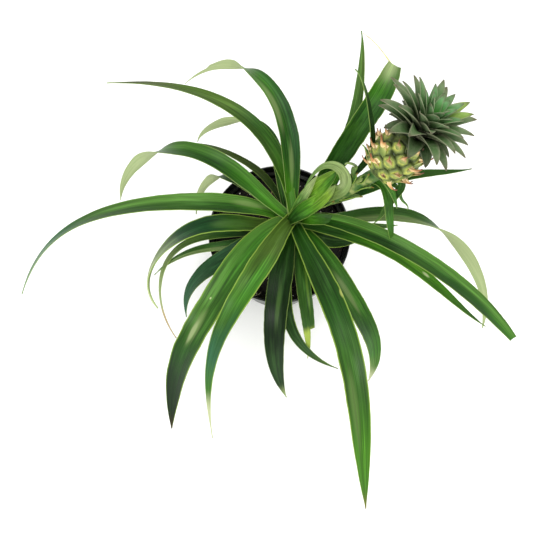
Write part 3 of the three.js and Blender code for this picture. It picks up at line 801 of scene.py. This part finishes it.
def seeded_draw(seed):
    """Draws from 0 to 1, alike on every run."""
    state = seed
    while True:
        state = (state * 1664525 + 1013904223) % 4294967296
        yield state / 4294967296


def fruit_radius(v):
    """Radius of the fruit's flesh at share v of its length."""
    return FRUIT["radius"] * sin(pi * (0.13 + 0.74 * v)) ** 0.62


def ring_faces(rings, around):
    """Faces between rings of points that follow each other."""
    faces = []
    for start in range(0, (rings - 1) * around, around):
        for k in range(around):
            a, b = start + k, start + (k + 1) % around
            faces.append((a, b, b + around, a + around))
    return faces


def skin_faces(rings, around):
    """Faces of a closed skin: rings of points, then the middles of its foot and its top."""
    faces = ring_faces(rings, around)
    foot, last = rings * around, (rings - 1) * around
    for k in range(around):
        after = (k + 1) % around
        faces += [(foot, after, k), (foot + 1, last + k, last + after)]
    return faces


def sheet_faces(rows, columns):
    """Faces of two sheets of points, one after the other, and of the border that joins them."""
    size = rows * columns
    faces = []
    for i in range(rows - 1):
        for a in range(i * columns, (i + 1) * columns - 1):
            b = a + size
            faces.append((a, a + 1, a + columns + 1, a + columns))
            faces.append((b, b + columns, b + columns + 1, b + 1))
    border = [*range(columns), *range(2 * columns - 1, size, columns)]
    border += [*range(size - 2, size - columns - 1, -1), *range(size - 2 * columns, 0, -columns)]
    return faces + [(a, a + size, b + size, b) for a, b in zip(border, border[1:] + border[:1])]


def turned_over(faces):
    """The same faces seen from behind, each from the same first point."""
    return [(face[0], *face[:0:-1]) for face in faces]


def grid(*counts):
    """Every combination of whole numbers below the counts, the last number running fastest."""
    return np.indices(counts).reshape(len(counts), -1)


def lathe_mesh(name, profile, sides):
    """A turned skin; the profile's first and last points lie on the axis."""
    ring, k = grid(len(profile) - 2, sides)
    radius, height = np.array(profile[1:-1]).T[:, ring]
    a = tau * k / sides
    middles = [(0, 0, profile[0][1]), (0, 0, profile[-1][1])]
    points = [*np.stack([radius * np.cos(a), radius * np.sin(a), height], 1), *middles]
    return mesh_of(name, points, skin_faces(len(profile) - 2, sides))


def turned_piece(name, profile, sides, finish, smoothed=False):
    """A turned skin with its finish, as an object at the origin."""
    piece = linked(name, lathe_mesh(name, profile, sides))
    piece.data.materials.append(finish)
    for polygon in piece.data.polygons:
        polygon.use_smooth = smoothed
    return piece


def eye_mesh():
    """One eye of the fruit, a unit wide: a six-sided shield that domes up round a dimple."""
    around = 18
    # each ring's radius, its height, and how far it's six-sided and not round
    rings = np.array([(1.0, -0.4, 1.0), (0.99, 0.0, 1.0), (0.9, 0.24, 1.0), (0.72, 0.4, 0.8),
                      (0.45, 0.44, 0.4), (0.22, 0.36, 0.0)])
    ring, k = grid(len(rings), around)
    radius, height, corners = rings.T[:, ring]
    a = tau * k / around
    hexagon = cos(pi / 6) / np.cos(a % (pi / 3) - pi / 6)
    reach = radius * (corners * hexagon + (1 - corners) * 0.93)
    points = np.stack([reach * np.cos(a), 0.9 * reach * np.sin(a), height], 1)
    last, middle = len(points) - around, len(points)
    faces = ring_faces(len(rings), around)
    faces += [(last + k, last + (k + 1) % around, middle) for k in range(around)]
    faces.append(tuple(reversed(range(around))))
    return mesh_of("eye", [*points, (0, 0, 0.3)], faces, rim=[*radius, 0])


def scale_mesh():
    """The pointed bract below an eye: a keeled scale, a unit wide, that curls up over it."""
    steps, columns = 7, 5
    back, i, k = grid(2, steps + 1, columns)
    t, u = i / steps, 2 * k / (columns - 1) - 1
    half = 0.62 * np.cos(t * pi / 2) ** 0.8 + 0.02
    lift = 0.3 + 0.75 * t**1.6 - 0.16 * abs(u) * (1 - t) - 0.09 * back
    points = np.stack([half * u, 1.35 * t - 0.75, lift], 1)
    return mesh_of("scale", points, sheet_faces(steps + 1, columns), rim=t)


def curl_mesh():
    """A withered flower, a unit long: a crumpled three-sided curl."""
    steps, around = 8, 7
    i, k = grid(steps + 1, around)
    t, a = i / steps, tau * k / around
    bend = 1.9 * t
    girth = 0.17 * (1 - 0.75 * t) * (1 + 0.3 * np.sin(7 * t))
    wide = girth * (1 + 0.35 * np.cos(3 * a + 2 * t))
    out, level = wide * np.cos(a), wide * np.sin(a)
    x = 0.55 * (1 - np.cos(bend)) + out * np.cos(bend)
    z = 0.62 * np.sin(bend) + 0.3 * t - out * np.sin(bend)
    last = steps * around
    faces = ring_faces(steps + 1, around)
    faces += [tuple(reversed(range(around))), tuple(range(last, last + around))]
    return mesh_of("curl", np.stack([x, 0.12 * np.sin(5 * t) + level, z], 1), faces, rim=t)


def parked(mesh):
    """An object that only serves as a pattern to repeat."""
    return bpy.data.objects.new(mesh.name, mesh)


def seat_growth():
    """A copy of a pattern on every seat, turned to the seat's own directions."""
    g = Growth("seat_growth", "Spread", Pattern="Object", Seed="Int")
    out, along = (g.attribute(n, "FLOAT_VECTOR") for n in ("out", "lengthways"))
    turn = g.made("FunctionNodeAxesToRotation", primary_axis="Z", secondary_axis="Y",
                  Primary_Axis=out, Secondary_Axis=along)
    vary = g.drawn(1.0 - g["Spread"], 1.0 + g["Spread"])
    seats = g.keep(g["Geometry"], chance=vary)
    size = g.attribute("size") * vary
    return g.end(g.copies(seats, g.pattern("Pattern"), Rotation=turn, Scale=g.combined(size, size, size)))


SEAT_GROWTH = seat_growth()


def eye_seats(lift=0.0, turned=0.0, spin=0.0, scale=1.0):
    """Seats on the fruit's flesh, in one spiral. Returns a mesh of points with directions."""
    seats = []
    for i in range(FRUIT["eyes"]):
        v = 0.08 + 0.84 * (i + 0.5) / FRUIT["eyes"]
        a = i * GOLDEN
        radius = fruit_radius(v)
        slope = (fruit_radius(v + 0.01) - fruit_radius(v - 0.01)) / (0.02 * FRUIT["length"])
        out = Vector((cos(a), sin(a), -slope)).normalized()
        level = Vector((-sin(a), cos(a), 0))
        way = out.cross(level)
        size = FRUIT["eye"] * (0.72 + 0.28 * sin(pi * v))
        foot = Vector((radius * cos(a), radius * sin(a), v * FRUIT["length"]))
        spun = way * cos(spin * i) + level * sin(spin * i)
        seats.append(((foot + out * lift + way * turned * size) * MM, out, spun, size * scale * MM))
    points, outs, ways, sizes = zip(*seats)
    return mesh_of("seats", points, out=outs, lengthways=ways, size=sizes)


def rim_finish(name, tones):
    """Tones by the number `rim` on the points, with fine blotches, darker where `chance` is low."""
    f = Finish(name, Roughness=0.6)
    place = f.place()
    at = (f.noise(place, 260, 3.0) - 0.5) * 0.5 + f.attribute("rim")
    vary = (f.attribute("chance") - 1.0) * 1.2 + 1.0
    f.bump(f.noise(place, 780, 3.0), 0.0004)
    return f.done(f.scaled(f.ramp(at, tones), vary))


def fruit_pieces():
    length = FRUIT["length"] * MM
    skin = [(fruit_radius(v) * MM, v * length) for v in np.linspace(0, 1, 17)]
    finish = mottled_finish("fruit_flesh_finish", "#26340f #3f4d1c #5b6828", 200)
    flesh = turned_piece("fruit_flesh", [(0, 0), *skin, (0, length)], 48, finish, smoothed=True)
    shown(set_on(flesh, FRUIT), "fruit", "fruit")
    flower_seats = eye_seats(lift=FRUIT["rise"] - 1.2, turned=0.3, spin=2.4, scale=1.25)
    kinds = [
        # an eye's tones run from its top to its rim: pale on top, partly its own colour and partly a
        # painted highlight, and dark at the rim, painted shade in the grooves
        ("fruit_eyes", eye_mesh(), eye_seats(), 0.05, 3,
         "fruit_eye_finish", "#e6dca0 #cfc873 #b3b552 #8a963c #5f6d2e #333f16"),
        ("fruit_bracts", scale_mesh(), eye_seats(lift=0.3), 0.18, 5,
         "fruit_bract_finish", "#4f6128 #6b7c36 #8d9a50 #b89c66 #8d5f45"),
        ("withered_flowers", curl_mesh(), flower_seats, 0.25, 8,
         "withered_flower_finish", "#f3e8c8 #dcc08c #b88a5a #8a5330 #4a2a18"),
    ]
    for name, pattern, seats, spread, seed, finish, tones in kinds:
        piece = grown(name, SEAT_GROWTH, seats, Pattern=parked(pattern), Spread=spread, Seed=seed,
                      Material=rim_finish(finish, tones))
        shown(set_on(piece, FRUIT), "fruit")


fruit_pieces()

CROWN_TAPER = (2.1, 0.75)  # how steeply a crown leaf narrows, and how pointed it ends
CROWN_FOLD = (1.3, 0.42)  # how its folded sides rise, by this power and this share of half its width
CROWN_THICK = (1.1 * MM, 0.6 * MM)  # what its middle adds at the root, and its thickness everywhere
CROWN_VEINS = 9 * pi


def crown_growth():
    """The crown's leaves: flat blanks on their seats, bent, folded and turned out by rule."""
    g = Growth("crown_growth", Blank="Object")
    leaves = g.realized(g.copies(g["Geometry"], g.pattern("Blank")))
    along, across, upper = g.attributes("along across upper")
    lean, curl, length, breadth = g.attributes("lean curl length breadth")
    azimuth, root, base = g.attributes("azimuth root base")

    left = 1.0 - along
    angle = lean - curl * left
    run = length * along
    half = g.math("MAXIMUM", breadth * (1.0 - along ** CROWN_TAPER[0]) ** CROWN_TAPER[1], 0.0003)
    fold = half * (abs(across) ** CROWN_FOLD[0] * CROWN_FOLD[1])
    plump = (1.0 - across * across) * CROWN_THICK[0] * left + CROWN_THICK[1]
    lift = fold - (1.0 - upper) * plump

    steer = angle + curl * along
    reach = run * g.sine(angle) + root - lift * g.cosine(steer)
    height = run * g.cosine(angle) + base + lift * g.sine(steer)
    off, ahead, aside = half * across, g.cosine(azimuth), g.sine(azimuth)
    place = g.combined(reach * ahead - off * aside, reach * aside + off * ahead, height)
    return g.end(g.moved(leaves, Position=place))


def blank_mesh():
    """A flat leaf blank: two sheets of points, the upper first, that share their borders' places."""
    steps, columns = 16, 9
    back, i, k = grid(2, steps + 1, columns)
    points = np.stack([k / (columns - 1), i / steps, 0.1 * (1 - back)], 1)
    along = np.minimum(i / steps, 0.999)
    faces = turned_over(sheet_faces(steps + 1, columns))
    return mesh_of("blank", points, faces, along=along, across=2 * k / (columns - 1) - 1, upper=1 - back)


def crown_seats():
    """One point for each crown leaf, low ones first, with the leaf's sizes on it."""
    draw = seeded_draw(11)
    count = CROWN["leaves"]
    core, root = CROWN["core"], CROWN["core_radius"]
    rows = []
    for i in range(count):
        f = i / (count - 1)
        azimuth = i * GOLDEN + 0.25 * (next(draw) - 0.5)
        grown_share = (0.55 + 0.45 * smooth(f, 0, 0.3)) * (1 - 0.38 * smooth(f, 0.5, 1))
        rows.append({
            "azimuth": azimuth,
            "length": CROWN["longest"] * grown_share * (0.92 + 0.16 * next(draw)) * MM,
            "lean": radians(100 + (16 - 100) * f**0.85),
            "curl": radians(30 + (4 - 30) * f),
            "base": (4 + (core - 7) * f) * MM,
            "root": (root + (2 - root) * f**1.5 - 2) * MM,
            "breadth": CROWN["width"] / 2 * (1 - 0.3 * f) * MM,
            "share": f,
            "pale": i in CROWN["pale"],
        })
    columns = {label: [row[label] for row in rows] for label in rows[0]}
    return mesh_of("crown_seats", [(0, 0, 0)] * count, **columns)


def crown_finish():
    """Grey-green leaves with dull rims and tips, freshest in the heart, two of them pale; painted shade
    darkens each leaf's root and the low leaves.
    """
    f = Finish("crown_finish", Specular_IOR_Level=0.15)
    along, across, share, upper, pale = f.attributes("along across share upper pale")
    dust = f.noise(f.place(), 150, 4.0)
    # both ramps start dark at the leaf's root: painted shade in the gaps between crowded leaves
    outer = f.ramp(along, "#16240e #375526 #587548 #747d5e")
    inner = f.ramp(along, "#1f5c0e #3d8628 #559049 #74a070")
    colour = f.mixed(f.smooth(share, 0.5, 0.85), outer, inner)
    layers = [
        (pale, 0.7, "#8fae48"),
        (f.smooth(dust, 0.4, 0.7), 0.4, "#7c8a68"),
        (1.0 - upper, 0.4, "#5a584a"),
        (f.smooth(abs(across), 0.6, 1.0), 0.45, "#95917a"),
        (f.smooth(along, 0.85, 1.0), 0.6, "#5c4f3c"),
    ]
    for where, strength, layer_tone in layers:
        colour = f.mixed(where * strength, colour, layer_tone)
    f.bump(dust * 1.5 + f.sine(across * CROWN_VEINS), 0.00015)
    # the lowest leaves are darkened: painted shade under the crown
    return f.done(f.scaled(colour, f.blend(f.smooth(share, 0.0, 0.3), 0.55, 1.0)), 0.62)


def crown_pieces():
    leaves = grown("crown_leaves", crown_growth(), crown_seats(), Blank=parked(blank_mesh()),
                   Material=crown_finish())
    shown(set_on(leaves, CROWN), "crown", "crown")
    core, wide = CROWN["core"] * MM, CROWN["core_radius"] * MM
    profile = [(0, 0), (wide * 0.6, 0), (wide, 0.004), (wide * 0.7, core * 0.6), (0.0025, core), (0, core)]
    heart = turned_piece("crown_core", profile, 32, mottled_finish("crown_core_finish", "deep leaf", 300))
    shown(set_on(heart, CROWN), "crown")


crown_pieces()

# ---- pot and soil
POT = {"rim": 76, "foot": 54, "height": 136, "wall": 1.3, "floor": 1.6, "collar": 16, "step": 3}
DRAINS = {"count": 6, "radius": 5, "ring": 52, "depth": 16}
POT_SIDES = 144
HOLLOW = 3  # how far the pot's bottom lies above its foot


def pot_finish():
    """Black moulded plastic, satin outside, with a little dust and a collar greyed by a painted reflection
    of the bright studio, mixed with the dust.
    """
    f = Finish("pot_finish", Specular_IOR_Level=0.3)
    place = f.place()
    dust = f.noise(place, 60, 5.0)
    colour = f.mixed(f.smooth(dust, 0.45, 0.8), "#070908", "#141b19")
    x, y, z = f.parted(place)
    far = f.vector("LENGTH", f.combined(x, y, 0.0))
    rim, top = POT["rim"], POT["height"]
    outside = f.smooth(far, (rim - 1.4) * MM, (rim - 0.8) * MM)
    # the collar's grey band: a painted reflection of the bright studio, stronger where the dust is
    collar = outside * f.smooth(z, (top - 0.5) * MM, (top - 2) * MM)
    colour = f.mixed(collar * f.blend(dust, 0.2, 0.9), colour, "#4c5751")
    f.bump(f.noise(place, 900, 2.0), 0.0001)
    return f.done(colour, dust * 0.25 + 0.2)


def drill_growth():
    """Round holes in a ring through whatever lies across the origin's level."""
    g = Growth("drill_growth", "Ring Radius Depth Turn", Count="Int")
    ring = g.made("GeometryNodeMeshCircle", Vertices=g["Count"], Radius=g["Ring"])
    drill = g.made("GeometryNodeMeshCylinder", Vertices=24, Radius=g["Radius"], Depth=g["Depth"])
    turn = g.combined(0.0, 0.0, g["Turn"])
    drills = g.made("GeometryNodeTransform", Geometry=g.copies(ring, drill), Rotation=turn)
    cut = g.add("GeometryNodeMeshBoolean", operation="DIFFERENCE", solver="EXACT")
    g.put(cut.inputs["Mesh 1"], g["Geometry"])
    g.put(cut.inputs["Mesh 2"], g.realized(drills))
    return g.end(Value(g, cut.outputs["Mesh"]), crease=35)


def pot_piece():
    rim, foot, top, wall = (POT[part] for part in ("rim", "foot", "height", "wall"))
    wall_top = top - POT["collar"]
    wall_radius = rim - POT["step"]
    profile = [  # the foot, the outside, the collar, the rim, and down the inside
        (0, HOLLOW), (foot - 6, HOLLOW), (foot - 5, 0), (foot - 0.8, 0), (foot, 0.8),
        (wall_radius - 1, wall_top), (rim - 1.1, wall_top + 0.6), (rim - 0.8, wall_top + 1.2),
        (rim - 0.3, top - 3), (rim, top - 2.4), (rim, top - 0.6), (rim - 0.5, top),
        (rim - wall - 0.3, top), (rim - wall - 0.6, top - 0.6), (rim - 1 - wall, wall_top + 2.5),
        (wall_radius - 1 - wall, wall_top + 1), (foot + 0.4 - wall, POT["floor"] + HOLLOW),
        (0, POT["floor"] + HOLLOW),
    ]
    shell = lathe_mesh("pot_shell", [(r * MM, z * MM) for r, z in profile], POT_SIDES)
    drill = {part.capitalize(): DRAINS[part] * MM for part in ("ring", "radius", "depth")}
    pot = grown("pot_shell", drill_growth(), shell, Count=DRAINS["count"],
                Turn=pi / DRAINS["count"], Material=pot_finish(), **drill)
    shown(pot, "pot", "pot")


pot_piece()

SOIL = {"edge": 116, "mound": 8, "lump": 1.6, "side": 60, "sides": 200, "rings": 64}
STEM_PLAY = 0.3  # how far the hole stands off the stem


def soil_height(x, y):
    """Height of the potting mix: a low mound with small lumps."""
    radius, a = np.hypot(x, y), np.arctan2(y, x)
    share = radius / (POT["rim"] - 6)
    lumps = np.sin(5 * a + radius / 5) + np.sin(3 * a - radius / 4) + np.cos(8 * a + radius / 3)
    inside = smooth(1 - share, 0, 0.1)
    return SOIL["edge"] + SOIL["mound"] * (1 - share**2) + SOIL["lump"] * 0.5 * lumps * inside


def soil_base():
    """The plug of mix as a closed skin: foot, side, mound, and the hole that the stem stands in."""
    sides, rings = SOIL["sides"], SOIL["rings"]
    slope = (POT["rim"] - POT["step"] - 1 - POT["foot"]) / (POT["height"] - POT["collar"])
    inset = POT["wall"] + 0.9

    def edge_at(z):
        return POT["foot"] + slope * z - inset

    low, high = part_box("stem")
    hole = (high.x - low.x) / 2 / MM + STEM_PLAY
    hole_floor = low.z / MM - STEM_PLAY
    bottom = POT["floor"] + HOLLOW + 0.3
    a = np.arange(sides) * tau / sides
    points, loose = [], []  # loose says where the mix is crumbly and strewn with bits

    def ring(x, y, z, looseness):
        points.append(np.stack([x, y, np.broadcast_to(z, sides)], 1))
        loose.append(looseness)

    for height in (bottom, SOIL["side"]):
        ring(edge_at(height) * np.cos(a), edge_at(height) * np.sin(a), height, 0)
    edge = edge_at(SOIL["edge"])
    for i in range(rings + 1):
        share = i / rings
        radius = edge + (hole - edge) * share
        x, y = STEM_AT[0] * share + radius * np.cos(a), STEM_AT[1] * share + radius * np.sin(a)
        ring(x, y, soil_height(x, y), float(i < rings))
    ring(x, y, hole_floor, 0)
    middles = [(0, 0, bottom), (*STEM_AT, hole_floor)]
    faces = skin_faces(len(points), sides)
    loose = np.append(np.repeat(loose, sides), [0, 0])
    return mesh_of("soil", np.concatenate([*points, middles]) * MM, faces, loose=loose)


def crumble_growth():
    """Roughens the loose top of the mix in coarse and fine crumbs."""
    g = Growth("crumble_growth", "Coarse Fine")
    coarse = (g.noise(g.place(), 130.0, 3.0) - 0.5) * g["Coarse"]
    fine = (g.noise(g.place(), 520.0, 2.0) - 0.5) * g["Fine"]
    offset = g.combined(0.0, 0.0, (coarse + fine) * g.attribute("loose"))
    return g.end(g.moved(g["Geometry"], Offset=offset), crease=60)


def scatter_growth():
    """Bits of one pattern strewn over the loose top of the mix."""
    g = Growth("scatter_growth", "Density Smallest Largest", Pattern="Object", Seed="Int")
    points = g.made("GeometryNodeDistributePointsOnFaces", Mesh=g["Geometry"],
                    Selection=g.attribute("loose") > 0.9, Density=g["Density"], Seed=g["Seed"])
    size = g.drawn(g["Smallest"], g["Largest"])
    lean = g.drawn((-1.0, -1.0, -1.0), (1.0, 1.0, 1.0), "FLOAT_VECTOR")
    turn = g.made("FunctionNodeAxesToRotation", Primary_Axis=lean, Secondary_Axis=(0.3, 0.9, 0.1))
    stretch = g.drawn((0.6, 0.6, 0.5), (1.2, 1.1, 1.0), "FLOAT_VECTOR")
    bits = g.copies(points, g.pattern("Pattern"), Rotation=turn, Scale=g.scaled(stretch, size))
    return g.end(bits, crease=75)


def chunk_mesh(name, stretch, seed):
    """A small lump, a unit across, with a few dozen faces."""
    draw = seeded_draw(seed)
    rings, around = 3, 7
    points = []
    for i in range(1, rings + 1):
        polar = pi * i / (rings + 1)
        for k in range(around):
            a = tau * (k + 0.5 * (i % 2)) / around
            r = 0.5 * (0.8 + 0.4 * next(draw))
            out = r * sin(polar)
            points.append((out * cos(a), out * sin(a), r * cos(polar)))
    points += [(0, 0, 0.45), (0, 0, -0.45)]
    return mesh_of(name, np.array(points) * stretch, turned_over(skin_faces(rings, around)))


def soil_pieces():
    finish = mottled_finish("soil_finish", "#060403 #0d0906 #1a120c", 260, 0.0015, 0.95)
    soil = grown("soil_mix", crumble_growth(), soil_base(), Coarse=3.2 * MM, Fine=1.6 * MM, Material=finish)
    shown(soil, "soil", "soil")
    scatter = scatter_growth()
    # a pattern's stretch, how many to the square metre, the smallest and largest in mm, the finish
    strewn = [
        ("perlite", (1, 1, 0.9), 3800.0, 1.0, 2.6,
         mottled_finish("perlite_finish", "#b9b5a8 #e6e3da", 500, 0.0002, 0.9)),
        ("bark_bits", (2.2, 0.9, 0.5), 5200.0, 1.4, 4.2,
         mottled_finish("bark_finish", "#0b0705 #1c130c #3a2a1c #7a6244", 300, 0.0004, 0.9)),
        ("crumbs", (1, 1.1, 0.8), 24000.0, 1.0, 3.0,
         mottled_finish("crumb_finish", "#050302 #0e0906 #1f150e", 400, 0.0004, 0.95)),
    ]
    for seed, (name, stretch, density, smallest, largest, finish) in enumerate(strewn, 21):
        pattern = parked(chunk_mesh(name + "_chunk", stretch, seed))
        bits = grown(name, scatter, soil.data.copy(), Pattern=pattern, Density=density,
                     Smallest=smallest * MM, Largest=largest * MM, Seed=seed, Material=finish)
        shown(bits, "soil")


soil_pieces()

# ---- floor and light
FLOOR_TONE = "#fbfbfa"
FLOOR_SIZE = 6.0  # from the middle to each edge
LAMPS_AIM = Vector((0, 0, 0.15))


def add_stage():
    size = FLOOR_SIZE
    corners = [(-size, -size, 0), (size, -size, 0), (size, size, 0), (-size, size, 0)]
    floor = linked("floor", mesh_of("floor", corners, [(0, 1, 2, 3)]))
    finish = Finish("floor_finish", Roughness=0.8, Specular_IOR_Level=0.2)
    floor.data.materials.append(finish.done(tone(FLOOR_TONE)))


def add_lamp(name, at, size, power):
    light = bpy.data.lights.new(name, "AREA")
    light.shape = "DISK"
    light.size = size
    light.energy = power
    aimed(linked(name, light), at, LAMPS_AIM - Vector(at))


def add_light():
    world = bpy.data.worlds.new("studio")
    world.use_nodes = True
    sky = world.node_tree.nodes["Background"].inputs
    sky["Color"].default_value = (1, 1, 1, 1)
    sky["Strength"].default_value = 1.0
    bpy.context.scene.world = world
    bpy.context.scene.view_settings.view_transform = "Standard"
    add_lamp("key", (-0.5, -1.5, 1.7), 0.9, 26)
    add_lamp("top", (0.3, 0.3, 2.0), 1.2, 16)


add_stage()
add_light()

# ---- last update
bpy.context.view_layer.update()
